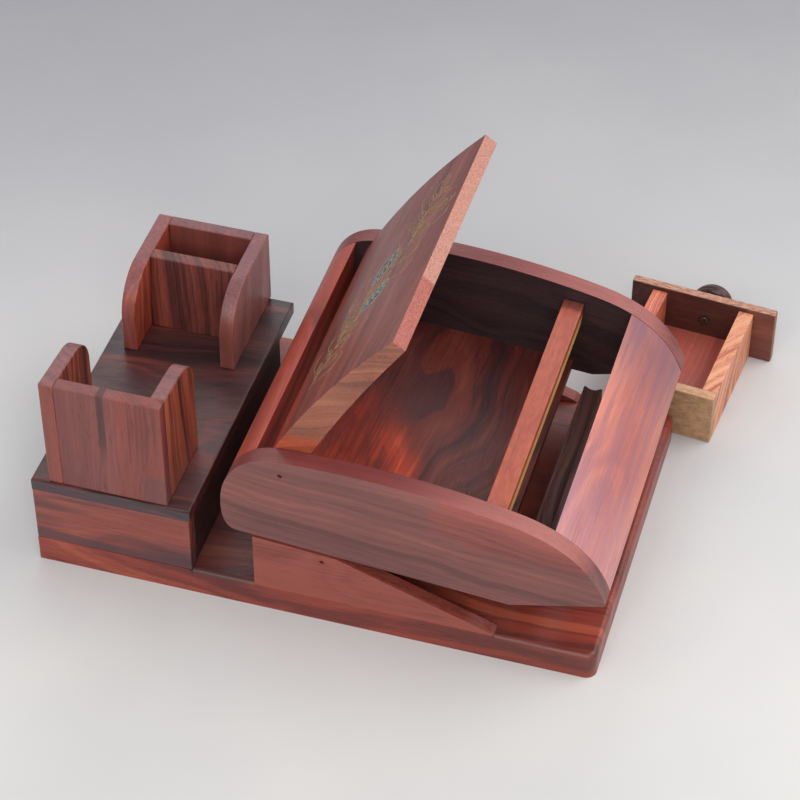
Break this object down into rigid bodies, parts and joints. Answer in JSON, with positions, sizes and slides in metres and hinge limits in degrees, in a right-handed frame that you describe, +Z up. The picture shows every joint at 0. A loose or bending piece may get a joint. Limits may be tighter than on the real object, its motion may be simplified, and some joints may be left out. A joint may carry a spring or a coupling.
{
  "type": "puzzle box",
  "caption": "Wooden desk puzzle box: hinged lid over a compartment in a wing-shaped box that rocks on a base to raise one stick through a slot, with two open holders and a loose drawer.",
  "frame": {"origin": "centre of the base board's underside", "axes": "+X along the base's long side from the holders to the rocking box's nose, +Y from the front to the back, +Z up"},
  "size_m": [0.1818, 0.1555, 0.1023],
  "materials": {
    "rosewood": "satin, oiled",
    "dark_rosewood": "satin, oiled",
    "streaked_rosewood": "satin, oiled",
    "orange_rosewood": "satin, oiled",
    "ebony": "satin, oiled",
    "drawer_wood": "bare, sanded",
    "shell": "polished shell",
    "steel": "dull"
  },
  "bodies": {
    "base": {"base_board": "rosewood", "housing_front_board": "rosewood", "housing_left_board": "rosewood", "housing_right_board": "rosewood", "housing_top_board": "dark_rosewood", "front_holder_left_cheek": "rosewood", "front_holder_right_cheek": "rosewood", "front_holder_board": "rosewood", "rear_holder_left_cheek": "rosewood", "rear_holder_right_cheek": "rosewood", "rear_holder_front_board": "rosewood", "rear_holder_back_board": "rosewood", "front_wedge": "rosewood", "rear_wedge": "rosewood", "lifter_blade": "ebony"},
    "rocking_box": {"box_front_panel": "rosewood", "box_rear_panel": "rosewood", "box_left_wall": "rosewood", "box_nose": "streaked_rosewood", "box_floor": "rosewood", "box_divider": "orange_rosewood", "pivot_beam": "rosewood", "pivot_brads": "steel"},
    "lid": {"lid_panel": "rosewood", "lid_leaf_inlay": "shell", "lid_brads": "steel"},
    "drawer": {"drawer_back": "drawer_wood", "drawer_left_side": "drawer_wood", "drawer_right_side": "drawer_wood", "drawer_floor": "drawer_wood", "drawer_face": "rosewood", "drawer_knob": "ebony", "knob_screw": "steel"}
  },
  "joints": [
    {"name": "rocker_tilt", "type": "hinge", "parent": "base", "child": "rocking_box", "pos_m": [0.0034, 0, 0.0228], "axis": [0, 1, 0], "range_deg": [-2.5, 15]},
    {"name": "lid_hinge", "type": "hinge", "parent": "rocking_box", "child": "lid", "pos_m": [-0.00762, 0, 0.0523], "axis": [0, 1, 0], "range_deg": [-60, 59]},
    {"name": "drawer_slide", "type": "slide", "parent": "base", "child": "drawer", "axis": [0.0958, 0.9954, 0], "range_m": [0, 0.06]}
  ]
}
